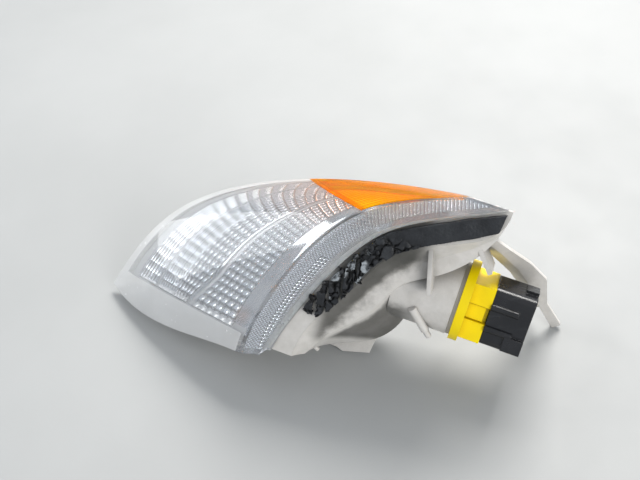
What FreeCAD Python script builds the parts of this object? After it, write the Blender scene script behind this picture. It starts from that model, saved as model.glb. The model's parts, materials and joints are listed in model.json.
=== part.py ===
import FreeCAD, Part
import math
import os
import Sketcher

# Right-hand front corner turn signal lamp of a car, in millimetres.
# Lamp axes: x rearward along the socket axis, y outboard, z up in the car.
# Every piece is modelled in lamp axes; one shared placement lays the lamp on its side.

os.makedirs("parts", exist_ok=True)
doc = FreeCAD.newDocument("turn_signal_lamp")
V = FreeCAD.Vector

SIZES = {
    # lens stations: top edge (x, y), lower edge (x, y, z) and side wall depth along x
    "inboard_top_x": -24.0, "inboard_top_y": -80.0, "inboard_low_x": -121.5,
    "inboard_low_y": -95.0, "inboard_low_z": -50.0, "inboard_depth": 12.0,
    "front_top_x": -19.5, "front_top_y": -40.0, "front_low_x": -106.0,
    "front_low_y": -53.0, "front_low_z": -50.0, "front_depth": 17.0,
    "corner_top_x": -6.0, "corner_top_y": -7.0, "corner_low_x": -80.0,
    "corner_low_y": -19.0, "corner_low_z": -49.5, "corner_depth": 18.5,
    "bend_top_x": 10.0, "bend_top_y": 15.5, "bend_low_x": -31.5,
    "bend_low_y": 10.7, "bend_low_z": -39.0, "bend_depth": 20.0,
    "wing_top_x": 34.0, "wing_top_y": 31.0, "wing_low_x": 25.3,
    "wing_low_y": 31.1, "wing_low_z": -21.0, "wing_depth": 23.0,
    "tip_top_x": 57.5, "tip_top_y": 40.5, "tip_low_x": 57.0,
    "tip_low_y": 39.6, "tip_low_z": -6.0, "tip_depth": 18.0,
    # lens and housing walls
    "face_bulge": 3.0, "lens_wall": 2.5, "amber_side_y": 19.5, "amber_lean": 0.11,
    "amber_top_gap": 0.6, "amber_top_depth": 2.0,
    "amber_low_depth": 10.0, "seam_gap": 0.15, "sealant_thick": 1.2, "sealant_inset": 0.9,
    "sealant_width": 1.2, "rim_clear": 0.15,
    "housing_wall": 2.4, "reflector_wall": 1.0,
    # housing plan levels
    "deck_z": -1.0, "fold_z": -8.0, "ledge_z": -10.0, "bulge_z": -28.0, "floor_z": -52.0,
    # socket axis and boss
    "axis_y": -15.3, "axis_z": -29.0, "seat_x": 66.4, "boss_radius": 18.4,
    "boss_start_x": 37.0, "lip_radius": 14.4, "lip_depth": 4.6, "chamber_radius": 16.7,
    "notch_radius": 16.7, "ear_angle": 32.0, "notch_angle": 40.0, "lock_turn": 50.0,
    # socket body
    "gasket_thick": 1.8, "gasket_gap": 0.1, "gasket_inner": 14.8, "gasket_outer": 18.0,
    "flange_radius": 20.0, "flange_thick": 4.3, "neck_radius": 14.0, "neck_reach": 15.0,
    "ear_radius": 16.3, "ear_thick": 2.2, "ear_gap": 0.3, "cup_radius": 9.2,
    "well_radius": 7.6, "well_floor": 10.5, "core_end": 14.2, "core_half_y": 13.0,
    "core_half_z": 9.8, "block_top_z": 12.4, "end_block_length": 10.1,
    "mid_block_length": 8.3, "block_gap": 0.6, "end_block_width": 9.8,
    "block_inner_y": 4.2, "middle_drop": 1.2,
    # connector shell
    "shell_start": 14.5, "shell_end": 33.5, "shell_half_y": 14.6, "shell_half_z": 12.0,
    "shell_wall": 2.2, "shell_corner": 3.5, "shell_floor": 4.0, "rib_radius": 1.7,
    "rib_y": 5.5, "lug_length": 6.0, "lug_rise": 1.6, "lug_half_z": 4.0,
    "latch_y": -9.5, "latch_half": 3.6, "latch_length": 9.0, "latch_rise": 1.8,
    # blades
    "blade_width": 6.3, "blade_thick": 0.8, "blade_pitch": 10.0, "blade_reach": 28.0,
    "blade_start": 10.6, "blade_slack": 0.06,
    # bayonet bulb
    "cap_radius": 7.5, "cap_wall": 0.35, "cap_mouth": -17.0, "cap_end": -2.0,
    "pin_radius": 1.0, "pin_reach": 8.8, "pin_x": -9.0, "sleeve_radius": 7.75,
    "sleeve_wall": 0.45, "sleeve_mouth": -14.8, "sleeve_end": -0.05, "sleeve_rim": 9.1, "slot_width": 2.4,
    "hook_offset": 3.4, "slot_end": -5.7, "hook_end": -10.2, "link_end": -8.0,
    "pellet_start": -3.4, "pellet_end": -0.8, "pellet_top": 4.5,
    "solder_radius": 2.2, "solder_end": 0.2, "glass_radius": 12.3, "glass_wall": 0.7,
    "glass_centre": -33.5, "glass_neck": 6.6, "neck_start": -25.0, "neck_end": -13.0,
    "stem_start": -13.4, "stem_flare": 5.6, "stem_radius": 2.8, "stem_end": -24.0,
    "post_radius": 0.3, "post_half_gap": 2.6, "post_end": -33.0, "coil_radius": 0.6,
    "coil_wire": 0.14, "coil_pitch": 0.6,
    # sprung contact under the bulb
    "button_start": 0.25, "button_radius": 2.6, "button_shank": 1.4, "carrier_start": 1.3,
    "carrier_radius": 7.1, "carrier_thick": 1.6, "spring_radius": 4.6, "spring_wire": 0.5,
    "spring_pitch": 1.4, "spring_turns": 3,
    # locating pin
    "locating_pin_radius": 1.5, "locating_pin_free": 3.5, "pin_shoulder_radius": 2.0,
    # foam seal strip
    "foam_top": 2.6, "foam_gap": 0.3, "crack_gap": 0.8,
    # resting attitude of the lamp on a flat floor
    "rest_yaw": -20.995, "rest_pitch": 9.224, "rest_roll": 58.332,
    "rest_x": 1.67, "rest_y": -12.51, "rest_z": 80.64,
}

sheet = doc.addObject("Spreadsheet::Sheet", "Sizes")
for row, (alias, number) in enumerate(SIZES.items(), start=1):
    sheet.set(f"A{row}", alias)
    sheet.set(f"B{row}", str(number))
    sheet.setAlias(f"B{row}", alias)
doc.recompute()


def size(alias):
    return float(sheet.get(alias))


REST = FreeCAD.Placement(
    V(size("rest_x"), size("rest_y"), size("rest_z")),
    FreeCAD.Rotation(size("rest_yaw"), size("rest_pitch"), size("rest_roll")),
)
SEAT = REST.multiply(
    FreeCAD.Placement(
        V(size("seat_x") + size("gasket_thick"), size("axis_y"), size("axis_z")),
        FreeCAD.Rotation(),
    )
)
PIECES = []


def keep(piece, label, placement):
    piece.Label = label
    piece.Placement = placement
    PIECES.append(piece)
    return piece


def feature(label, shape, placement):
    piece = doc.addObject("Part::Feature", label)
    piece.Shape = shape
    return keep(piece, label, placement.multiply(shape.Placement))


# ---------------------------------------------------------------- lens stations

FAR = 400


class Station:
    """One slice of the lens: x runs rearward, drop runs from the top edge to the lower."""

    def __init__(self, top, low, depth):
        self.top = top
        self.low = low
        self.depth = depth
        self.drop = math.hypot(low.y - top.y, low.z - top.z)
        self.rake = top.x - low.x
        self.slant = math.hypot(self.rake, self.drop)

    def point(self, x, drop):
        way = drop / self.drop
        y = self.top.y + (self.low.y - self.top.y) * way
        z = self.top.z + (self.low.z - self.top.z) * way
        return V(x, y, z)

    def face_x(self, inset, drop):
        """x of the face plane, moved inward by the inset, at a given drop."""
        return self.top.x + (inset * self.slant - drop * self.rake) / self.drop

    def toward(self, other, distance):
        way = distance / (other.top - self.top).Length
        top = self.top + (other.top - self.top) * way
        low = self.low + (other.low - self.low) * way
        return Station(top, low, self.depth + (other.depth - self.depth) * way)


def station(name):
    top = V(size(name + "_top_x"), size(name + "_top_y"), 0)
    low = V(size(name + "_low_x"), size(name + "_low_y"), size(name + "_low_z"))
    return Station(top, low, size(name + "_depth"))


STATIONS = [station(n) for n in ("inboard", "front", "corner", "bend", "wing", "tip")]


def inset_stations(inset):
    if inset == 0:
        return list(STATIONS)
    last = STATIONS[-1].toward(STATIONS[-2], inset * 1.6)
    return STATIONS[:-1] + [last]


def face_slice(place, inset, rear):
    """Closed slice: bulged face, lower wall, rear edge, upper wall."""
    high = inset
    deep = place.drop - inset
    middle = (high + deep) / 2
    bulge = size("face_bulge") * place.drop / STATIONS[0].drop
    a = place.point(place.face_x(inset, high), high)
    b = place.point(place.face_x(inset - bulge, middle), middle)
    c = place.point(place.face_x(inset, deep), deep)
    d = place.point(place.low.x + rear(place), deep)
    e = place.point(place.top.x + rear(place), high)
    curve = Part.Arc(a, b, c).toShape()
    return Part.Wire([curve, Part.makeLine(c, d), Part.makeLine(d, e), Part.makeLine(e, a)])


def band_slice(place, inset, front, rear_top, rear_low):
    """Closed four-sided slice between two depths behind the face edges."""
    deep = place.drop - inset
    a = place.point(place.top.x + front(place), inset)
    b = place.point(place.low.x + front(place), deep)
    c = place.point(place.low.x + rear_low(place), deep)
    d = place.point(place.top.x + rear_top(place), inset)
    return Part.makePolygon([a, b, c, d, a])


# Inboard side of the lamp in plan, from the pointed front corner to the rear.
SIDE_EDGE = [(-150.0, -69.0), (-117.5, -82.3), (-90.0, -84.0), (-64.0, -79.2), (-22.0, -68.6)]
SIDE_END = (-10.9, -62.0)


def inboard_trim(inset):
    """Everything outboard of the curved inboard side, drawn in by the inset."""
    points = [V(x, y + inset, -FAR) for x, y in SIDE_EDGE]
    curve = Part.BSplineCurve()
    curve.interpolate(points)
    last = points[-1]
    corner = V(SIDE_END[0], SIDE_END[1] + inset, -FAR)
    knee = V(last.x + 8.0, last.y + 2.3, -FAR)
    path = [last, knee, corner, V(FAR, corner.y, -FAR), V(FAR, FAR, -FAR)]
    path += [V(points[0].x, FAR, -FAR), points[0]]
    lines = [Part.makeLine(a, b) for a, b in zip(path, path[1:])]
    return Part.Face(Part.Wire([curve.toShape()] + lines)).extrude(V(0, 0, 2 * FAR))


def faced_solid(inset, rear):
    solid = Part.makeLoft([face_slice(p, inset, rear) for p in inset_stations(inset)], True)
    return solid.common(inboard_trim(inset))


def band_solid(inset, front, rear_top, rear_low):
    places = inset_stations(inset)
    solid = Part.makeLoft([band_slice(p, inset, front, rear_top, rear_low) for p in places], True)
    return solid.common(inboard_trim(inset))


def depth_plus(extra):
    return lambda place: place.depth + extra


def fixed_depth(value):
    return lambda place: value


# ---------------------------------------------------------------- lens

lens_outer = faced_solid(0, depth_plus(0))
lens_inner = faced_solid(size("lens_wall"), depth_plus(40))
lens_shell = lens_outer.cut(lens_inner)


def amber_side(shift):
    """Block outboard of the colour seam, drawn back from the seam by the shift."""
    y = size("amber_side_y") + shift
    lean = size("amber_lean")
    top = -size("amber_top_gap") - shift
    low = top - FAR
    outline = Part.makePolygon([
        V(-FAR, y + lean * top, top),
        V(-FAR, FAR, top),
        V(-FAR, FAR, low),
        V(-FAR, y + lean * low, low),
        V(-FAR, y + lean * top, top),
    ])
    return Part.Face(outline).extrude(V(2 * FAR, 0, 0))


def amber_front(shift):
    """Everything ahead of the rear limit of the amber moulding."""
    top_limit = fixed_depth(size("amber_top_depth") - shift)
    low_limit = fixed_depth(size("amber_low_depth") - shift)
    return band_solid(0, fixed_depth(-60), top_limit, low_limit)


seam = size("seam_gap")
clear_body = lens_shell.cut(amber_front(0).common(amber_side(0)))
amber_body = lens_shell.common(amber_front(seam)).common(amber_side(seam))
feature("lens_clear", clear_body, REST)
feature("lens_amber", amber_body, REST)

# ---------------------------------------------------------------- sealant and housing

bead_start = size("rim_clear")
bead_end = bead_start + size("sealant_thick")
rim_start = bead_end + size("rim_clear")


def ahead_of_rim(extra):
    """Everything ahead of the lens rim moved rearward by the extra."""
    return Part.makeLoft([face_slice(p, 0, depth_plus(extra)) for p in STATIONS], True)


def rim_wall(inset, thick):
    """Wall that follows the lens rim, set in from its outside."""
    outside = band_solid(inset, fixed_depth(0), depth_plus(5), depth_plus(5))
    inside = band_solid(inset + thick, fixed_depth(-5), depth_plus(10), depth_plus(10))
    return outside.cut(inside)


bead_wall = rim_wall(size("sealant_inset"), size("sealant_width"))
bead = bead_wall.common(ahead_of_rim(bead_end)).cut(ahead_of_rim(bead_start))
feature("lens_sealant", bead, REST)

# Rear outline of the housing in plan, level by level from the deck down to the floor.
DECK_EDGE = [(1.5, -66), (8.7, -37), (20.5, -18.4), (30.4, -0.5), (44.3, 11.4), (75.0, 30.0), (76.5, 45)]
FOLD_EDGE = [(3.0, -66), (15.5, -44), (28.4, -18.7), (38.5, -5.0), (50.0, 5.0), (75.2, 27.0), (76.5, 45)]
LEDGE_EDGE = [(4.0, -66), (16.5, -46), (31.2, -28.0), (41.0, -11.3), (53.0, -3.0), (75.4, 25.0), (76.5, 45)]
BULGE_EDGE = [(5.0, -68), (23.0, -57), (37.0, -48.5), (45.5, -34.0), (50.0, -5.0), (74.0, 26.0), (76.5, 45)]
FLOOR_EDGE = [(2.0, -68), (18.0, -57), (33.0, -47.0), (40.0, -33.0), (47.0, -5.0), (71.0, 26.0), (76.0, 45)]
LEVELS = [
    (FAR, DECK_EDGE),
    (size("deck_z"), DECK_EDGE),
    (size("fold_z"), FOLD_EDGE),
    (size("ledge_z"), LEDGE_EDGE),
    (size("bulge_z"), BULGE_EDGE),
    (size("floor_z"), FLOOR_EDGE),
]


def plan_wire(edge, z, shift):
    points = [V(x, y, z) + shift for x, y in edge]
    curve = Part.BSplineCurve()
    curve.interpolate(points)
    first, last = points[0], points[-1]
    corners = [
        last,
        V(last.x, FAR, z),
        V(-FAR, FAR, z),
        V(-FAR, -FAR, z),
        V(first.x, -FAR, z),
        first,
    ]
    lines = [Part.makeLine(a, b) for a, b in zip(corners, corners[1:])]
    return Part.Wire([curve.toShape()] + lines)


def plan_block(shift):
    return Part.makeLoft([plan_wire(edge, z, shift) for z, edge in LEVELS], True, True)


def shell_space(inset, start, shift):
    """Space behind the lens rim, inset from its walls, ahead of the moved rear outline."""
    prism = band_solid(inset, depth_plus(start), fixed_depth(FAR), fixed_depth(FAR))
    return prism.common(plan_block(shift))


rim_inset = 0.8
wall = size("housing_wall")
housing_outer = shell_space(rim_inset, rim_start - 4, V(0, 0, 0)).cut(ahead_of_rim(rim_start))
housing_cavity = shell_space(rim_inset + wall, rim_start - 4, V(-wall, 0.75 * wall, -0.85 * wall))


AXIS_Y = size("axis_y")
AXIS_Z = size("axis_z")


def along_axis(radius, start, end):
    """Cylinder on the socket axis between two lamp x positions."""
    return Part.makeCylinder(radius, end - start, V(start, AXIS_Y, AXIS_Z), V(1, 0, 0))


def sector(radius, start, end, middle_angle, spread):
    """Pie slice on the socket axis, angles measured from outboard toward up."""
    slice_solid = Part.makeCylinder(radius, end - start, V(0, 0, 0), V(0, 0, 1), spread)
    slice_solid.rotate(V(0, 0, 0), V(0, 0, 1), middle_angle - spread / 2)
    slice_solid.rotate(V(0, 0, 0), V(1, 1, 1), 120)
    slice_solid.translate(V(start, AXIS_Y, AXIS_Z))
    return slice_solid


def plate(points, start_z, thick):
    outline = Part.makePolygon([V(x, y, start_z) for x, y in points + points[:1]])
    return Part.Face(outline).extrude(V(0, 0, thick))


def ribbon(upper, lower, thick):
    """Curved strip between two edges, thickened to one side."""
    slices = []
    for i, (a, b) in enumerate(zip(upper, lower)):
        before = upper[max(i - 1, 0)]
        after = upper[min(i + 1, len(upper) - 1)]
        normal = (after - before).cross(b - a)
        normal.normalize()
        push = normal * thick
        slices.append(Part.makePolygon([a, b, b + push, a + push, a]))
    return Part.makeLoft(slices, True, True)


seat = size("seat_x")
boss_radius = size("boss_radius")
boss = along_axis(boss_radius, size("boss_start_x"), seat)
outer = housing_outer.fuse(boss)

# Locating pin beside the boss, peg on the inboard side and the lower mounting tab.
PIN_ROOT = V(48.5, -20.9, -10.6)
PIN_TIP = V(59.3, -33.9, -17.0)
pin_line = PIN_TIP - PIN_ROOT
pin = Part.makeCylinder(size("locating_pin_radius"), pin_line.Length, PIN_ROOT, pin_line)
shoulder_length = pin_line.Length - size("locating_pin_free")
shoulder = Part.makeCylinder(size("pin_shoulder_radius"), shoulder_length, PIN_ROOT, pin_line)
pin_end = Part.makeSphere(size("locating_pin_radius"), PIN_TIP)
LOWER_TAB = [
    (-6.0, -40.0), (-2.0, -66.3), (16.0, -66.3), (20.0, -67.5), (33.5, -63.2), (34.5, -56.0), (28.0, -40.0),
]
lower_tab = plate(LOWER_TAB, -40.0, 2.5)
peg_root = V(3.0, -59.0, -20.0)
peg_tip = V(10.0, -63.5, -21.5)
peg = Part.makeCone(1.6, 1.1, (peg_tip - peg_root).Length, peg_root, peg_tip - peg_root)

# Web plate standing across the ledge and two stiffening webs behind it.
WEB_LINE = [(47.4, 14.0), (53.2, -9.5), (55.2, -9.0), (49.4, 14.5)]
web = plate(WEB_LINE, -16.0, 13.5)
REAR_WEB = [(52.0, 12.0), (62.0, 18.5), (61.2, 20.2), (51.0, 14.0)]
rear_web = plate(REAR_WEB, -22.0, 17.0)
ARM_WEB = [(62.0, 24.0), (63.6, 25.2), (77.9, 7.9), (76.3, 6.7)]
arm_web = plate(ARM_WEB, -26.0, 17.0)

# Bracket arm: a lip that faces up and a wall that drops from its inner edge.
ARM_LIP = [
    V(58.0, 27.0, -9.0),
    V(69.9, 24.0, -12.0),
    V(81.8, 16.6, -25.0),
    V(94.5, 9.2, -38.0),
    V(104.6, 0.8, -48.5),
    V(109.8, -14.8, -60.5),
    V(120.8, -26.6, -70.0),
]
LIP_WIDE = V(-3.6, -3.4, -0.6)
LIP_SHARES = [0.8, 0.8, 0.9, 1.4, 1.8, 0.9, 1.0]
WALL_DROP = V(-3.0, -5.5, -10.0)
lip_inner = [p + LIP_WIDE * share for p, share in zip(ARM_LIP, LIP_SHARES)]
arm_lip = ribbon(ARM_LIP, lip_inner, 2.0)
arm_wall = ribbon(lip_inner[:-1], [p + WALL_DROP for p in lip_inner[:-1]], 1.8)
ARM_ROOT = [(46.0, 20.0), (48.0, 27.0), (59.0, 29.0), (66.0, 25.5), (64.0, 19.0), (52.0, 12.0)]
arm_root = plate(ARM_ROOT, -13.0, 4.0)

outer = outer.fuse([pin, pin_end, shoulder, lower_tab, peg])
outer = outer.fuse([web, rear_web, arm_web, arm_lip, arm_wall, arm_root])

lip_start = seat - size("lip_depth")
bore = along_axis(size("lip_radius"), lip_start - 1, seat + 1)
chamber = along_axis(size("chamber_radius"), size("boss_start_x") - 12, lip_start)
openings = [bore, chamber]
for turn in (0, 120, 240):
    openings.append(
        sector(size("notch_radius"), lip_start - 1, seat + 1, turn + size("lock_turn"), size("notch_angle"))
    )
housing = outer.cut(housing_cavity).cut(Part.Compound(openings))
housing = housing.removeSplitter()
feature("housing", housing, REST)

# Reflector insert: a thin bowl standing just inside the housing walls.
skin = size("reflector_wall")
set_in = wall + 0.7
reflector_outer = shell_space(rim_inset + set_in, rim_start + 1.5, V(-set_in, 0.75 * set_in, -0.85 * set_in))
set_in += skin
reflector_inner = shell_space(rim_inset + set_in, rim_start - 4, V(-set_in, 0.75 * set_in, -0.85 * set_in))
bulb_hole = along_axis(boss_radius + 0.5, 10, seat)
feature("reflector", reflector_outer.cut(reflector_inner).cut(bulb_hole), REST)

# ---------------------------------------------------------------- foam seal strip

def foam_solid():
    gap = size("foam_gap")
    front_points = [V(x + gap, y, 0) for x, y in FOAM_FRONT]
    rear_points = [V(x, y + gap, 0) for x, y in FOAM_REAR]
    front_curve = Part.BSplineCurve()
    front_curve.interpolate(front_points)
    rear_curve = Part.BSplineCurve()
    rear_curve.interpolate(rear_points)
    ends = [
        Part.makeLine(front_points[-1], rear_points[-1]),
        Part.makeLine(rear_points[0], front_points[0]),
    ]
    base = Part.Wire(Part.__sortEdges__([front_curve.toShape(), rear_curve.toShape()] + ends))
    low = size("deck_z") + 0.25
    solid = Part.Face(base).extrude(V(0, 0, size("foam_top") - low))
    solid.translate(V(0, 0, low))
    return solid


FOAM_FRONT = [(0.2, -35.0), (10.5, -13.0), (19.5, 1.8), (27.8, 13.2), (40.0, 20.8), (55.0, 29.0), (75.6, 38.8)]
FOAM_REAR = [(8.4, -37.2), (20.0, -18.6), (30.0, -0.5), (44.0, 11.4), (56.5, 18.8), (74.8, 29.6)]
foam = foam_solid()


def foam_part(start, end):
    """Length of the strip between two cracks that run across it."""
    block = plate([(start, -60.0), (end, -60.0), (end - 18.0, 60.0), (start - 18.0, 60.0)], -FAR, 2 * FAR)
    return foam.common(block)


CRACKS = [-20.0, 10.5, 16.0, 22.5, 28.5]
crack = size("crack_gap")
for number, (start, end) in enumerate(zip(CRACKS, CRACKS[1:]), start=1):
    feature(f"foam_fragment_{number}", foam_part(start, end - crack), REST)
feature("foam_strip", foam_part(CRACKS[-1], FAR), REST)


# ---------------------------------------------------------------- turned and padded bodies


def plane_of(body, role):
    for datum in body.Origin.OriginFeatures:
        if datum.Role == role:
            return datum
    raise ValueError(role)


def sketch_in(body, name, role="YZ_Plane", offset=None):
    drawing = body.newObject("Sketcher::SketchObject", name)
    drawing.AttachmentSupport = (plane_of(body, role), [""])
    drawing.MapMode = "FlatFace"
    if offset:
        drawing.setExpression(".AttachmentOffset.Base.z", offset)
    return drawing


def drive(drawing, kind, parts, expression):
    """Dimension bound to the sheet."""
    index = drawing.addConstraint(Sketcher.Constraint(kind, *parts, 1.0))
    drawing.setExpression(f"Constraints[{index}]", expression)


def circle(drawing, radius):
    ring_id = drawing.addGeometry(Part.Circle(V(0, 0, 0), V(0, 0, 1), 5), False)
    drawing.addConstraint(Sketcher.Constraint("Coincident", ring_id, 3, -1, 1))
    drive(drawing, "Radius", (ring_id,), radius)


def box_outline(drawing, left, right, low, high, guess):
    """Rectangle whose four sides sit at expressions measured from the origin."""
    x0, x1, y0, y1 = guess
    corners = [V(x0, y0, 0), V(x1, y0, 0), V(x1, y1, 0), V(x0, y1, 0)]
    ids = []
    for i in range(4):
        ids.append(drawing.addGeometry(Part.LineSegment(corners[i], corners[(i + 1) % 4]), False))
    for i in range(4):
        drawing.addConstraint(Sketcher.Constraint("Coincident", ids[i], 2, ids[(i + 1) % 4], 1))
    for i in (0, 2):
        drawing.addConstraint(Sketcher.Constraint("Horizontal", ids[i]))
        drawing.addConstraint(Sketcher.Constraint("Vertical", ids[i + 1]))
    drive(drawing, "DistanceX", (-1, 1, ids[0], 1), left)
    drive(drawing, "DistanceX", (-1, 1, ids[0], 2), right)
    drive(drawing, "DistanceY", (-1, 1, ids[0], 1), low)
    drive(drawing, "DistanceY", (-1, 1, ids[2], 1), high)


def pad(body, drawing, length, name):
    solid = body.newObject("PartDesign::Pad", name)
    solid.Profile = drawing
    solid.setExpression("Length", length)
    body.Tip = solid
    return solid


def pocket(body, drawing, length, name):
    """Pocket that runs toward +x, the way the sketch faces."""
    solid = body.newObject("PartDesign::Pocket", name)
    solid.Profile = drawing
    solid.Reversed = True
    solid.setExpression("Length", length)
    body.Tip = solid
    return solid


def new_body(label):
    body = doc.addObject("PartDesign::Body", label)
    body.Label = label
    return body


def ring_body(label, start, length, outside, inside):
    """Plain ring on the axis from start for a length."""
    body = new_body(label)
    drawing = sketch_in(body, label + "_outline", offset=start)
    circle(drawing, outside)
    if inside:
        circle(drawing, inside)
    pad(body, drawing, length, label + "_pad")
    return body


def revolved_body(label, points):
    """Body turned about the socket axis; points are (x, radius) expressions with guesses."""
    body = new_body(label)
    drawing = sketch_in(body, label + "_profile", "XY_Plane")
    ids = []
    for i in range(len(points)):
        x0, r0 = points[i][2]
        x1, r1 = points[(i + 1) % len(points)][2]
        ids.append(drawing.addGeometry(Part.LineSegment(V(x0, r0, 0), V(x1, r1, 0)), False))
    for i in range(len(points)):
        drawing.addConstraint(
            Sketcher.Constraint("Coincident", ids[i], 2, ids[(i + 1) % len(points)], 1)
        )
    for i, (x, r, guess) in enumerate(points):
        drive(drawing, "DistanceX", (-1, 1, ids[i], 1), x)
        drive(drawing, "DistanceY", (-1, 1, ids[i], 1), r)
    turned = body.newObject("PartDesign::Revolution", label + "_turned")
    turned.Profile = drawing
    turned.ReferenceAxis = (drawing, ["H_Axis"])
    turned.Angle = 360
    body.Tip = turned
    return body


# Gasket between the socket flange and the boss.
gasket = ring_body(
    "socket_gasket", "Sizes.gasket_gap - Sizes.gasket_thick", "Sizes.gasket_thick - Sizes.gasket_gap",
    "Sizes.gasket_outer", "Sizes.gasket_inner",
)
keep(gasket, "socket_gasket", SEAT)

# Yellow twist-lock socket: flange, neck, three ears, grooved rear block.
socket = new_body("socket_body")
flange_drawing = sketch_in(socket, "flange_outline")
circle(flange_drawing, "Sizes.flange_radius")
pad(socket, flange_drawing, "Sizes.flange_thick", "flange")
neck_drawing = sketch_in(socket, "neck_outline", offset="-Sizes.neck_reach")
circle(neck_drawing, "Sizes.neck_radius")
pad(socket, neck_drawing, "Sizes.neck_reach + Sizes.flange_thick / 2", "neck")
core_drawing = sketch_in(socket, "core_outline", offset="Sizes.flange_thick / 2")
box_outline(
    core_drawing,
    "-Sizes.core_half_y", "Sizes.core_half_y", "-Sizes.core_half_z", "Sizes.core_half_z",
    (-15, 15, -9, 9),
)
pad(socket, core_drawing, "Sizes.core_end - Sizes.flange_thick / 2", "core")
for side, name in ((1, "outboard_block"), (-1, "inboard_block")):
    drawing = sketch_in(socket, name + "_outline", offset="Sizes.flange_thick / 2")
    near = f"{side} * (Sizes.block_inner_y)"
    far = f"{side} * (Sizes.block_inner_y + Sizes.end_block_width)"
    left, right = (near, far) if side > 0 else (far, near)
    guess = (5, 16, -12, 12) if side > 0 else (-16, -5, -12, 12)
    box_outline(drawing, left, right, "-Sizes.block_top_z", "Sizes.block_top_z", guess)
    pad(socket, drawing, "Sizes.end_block_length + Sizes.flange_thick / 2", name)
drawing = sketch_in(socket, "middle_block_outline", offset="Sizes.flange_thick / 2")
box_outline(
    drawing,
    "-Sizes.block_inner_y + Sizes.block_gap", "Sizes.block_inner_y - Sizes.block_gap",
    "-Sizes.block_top_z + Sizes.middle_drop", "Sizes.block_top_z - Sizes.middle_drop",
    (-4, 4, -11, 11),
)
middle_block = pad(socket, drawing, "Sizes.mid_block_length + Sizes.flange_thick / 2", "middle_block")
ear_offset = "-(Sizes.gasket_thick + Sizes.lip_depth + Sizes.ear_gap + Sizes.ear_thick)"
ear_drawing = sketch_in(socket, "ear_outline", offset=ear_offset)
half = math.radians(size("ear_angle") / 2)


def ear_arc(radius):
    circle = Part.Circle(V(0, 0, 0), V(0, 0, 1), radius)
    return ear_drawing.addGeometry(Part.ArcOfCircle(circle, -half, half), False)


def ear_edge(turn):
    way = V(math.cos(turn), math.sin(turn), 0)
    side = Part.LineSegment(way * (size("neck_radius") - 1), way * size("ear_radius"))
    return ear_drawing.addGeometry(side, False)


arc_out = ear_arc(size("ear_radius"))
arc_in = ear_arc(size("neck_radius") - 1)
edge_a = ear_edge(half)
edge_b = ear_edge(-half)
ear_drawing.addConstraint(Sketcher.Constraint("Coincident", arc_out, 3, -1, 1))
ear_drawing.addConstraint(Sketcher.Constraint("Coincident", arc_in, 3, -1, 1))
ear_drawing.addConstraint(Sketcher.Constraint("Coincident", edge_a, 1, arc_in, 2))
ear_drawing.addConstraint(Sketcher.Constraint("Coincident", edge_a, 2, arc_out, 2))
ear_drawing.addConstraint(Sketcher.Constraint("Coincident", edge_b, 1, arc_in, 1))
ear_drawing.addConstraint(Sketcher.Constraint("Coincident", edge_b, 2, arc_out, 1))
drive(ear_drawing, "Radius", (arc_out,), "Sizes.ear_radius")
drive(ear_drawing, "Radius", (arc_in,), "Sizes.neck_radius - 1")
doc.recompute()
ear_pad = pad(socket, ear_drawing, "Sizes.ear_thick", "ear")
ears = socket.newObject("PartDesign::PolarPattern", "ears")
ears.Originals = [ear_pad]
ears.Axis = (ear_drawing, ["N_Axis"])
ears.Angle = 360
ears.Occurrences = 3
socket.Tip = ears
cup_drawing = sketch_in(socket, "cup_outline", offset="-Sizes.neck_reach")
circle(cup_drawing, "Sizes.cup_radius")
pocket(socket, cup_drawing, "Sizes.neck_reach", "cup")
well_drawing = sketch_in(socket, "well_outline", offset="-1")
circle(well_drawing, "Sizes.well_radius")
pocket(socket, well_drawing, "Sizes.well_floor + 1", "well")


def blade_slots(body, name, start, length):
    """Two slots that the blades pass through."""
    drawing = sketch_in(body, name + "_outline", offset=start)
    for side in (1, -1):
        centre = f"{side} * Sizes.blade_pitch / 2"
        reach = "(Sizes.blade_thick / 2 + Sizes.blade_slack)"
        tall = "(Sizes.blade_width / 2 + Sizes.blade_slack)"
        guess = (side * 5 - 0.5, side * 5 + 0.5, -3, 3)
        box_outline(drawing, f"{centre} - {reach}", f"{centre} + {reach}", f"-{tall}", tall, guess)
    pocket(body, drawing, length, name)


blade_slots(socket, "socket_slots", "Sizes.well_floor - 1", "Sizes.core_end")
keep(socket, "socket_body", SEAT)


# Black connector shell, open at the rear.
shell = new_body("connector_shell")
drawing = sketch_in(shell, "shell_outline", offset="Sizes.shell_start")
box_outline(
    drawing,
    "-Sizes.shell_half_y", "Sizes.shell_half_y", "-Sizes.shell_half_z", "Sizes.shell_half_z",
    (-16, 16, -12, 12),
)
block = pad(shell, drawing, "Sizes.shell_end - Sizes.shell_start", "shell_block")
doc.recompute()
long_edges = []
for number, edge in enumerate(block.Shape.Edges, start=1):
    a, b = edge.Vertexes[0].Point, edge.Vertexes[-1].Point
    if abs(b.x - a.x) > 1:
        long_edges.append(f"Edge{number}")
rounded = shell.newObject("PartDesign::Fillet", "shell_corners")
rounded.Base = (block, long_edges)
rounded.setExpression("Radius", "Sizes.shell_corner")
shell.Tip = rounded
drawing = sketch_in(shell, "rib_outline", offset="Sizes.shell_start")
for side in (1, -1):
    rib = drawing.addGeometry(Part.Circle(V(side * 5, 12, 0), V(0, 0, 1), 1), False)
    drive(drawing, "DistanceX", (-1, 1, rib, 3), f"{side} * Sizes.rib_y")
    drive(drawing, "DistanceY", (-1, 1, rib, 3), "Sizes.shell_half_z")
    drive(drawing, "Radius", (rib,), "Sizes.rib_radius")
pad(shell, drawing, "Sizes.shell_end - Sizes.shell_start - Sizes.lug_length", "shell_ribs")
drawing = sketch_in(shell, "lug_outline", offset="Sizes.shell_end - Sizes.lug_length")
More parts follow.
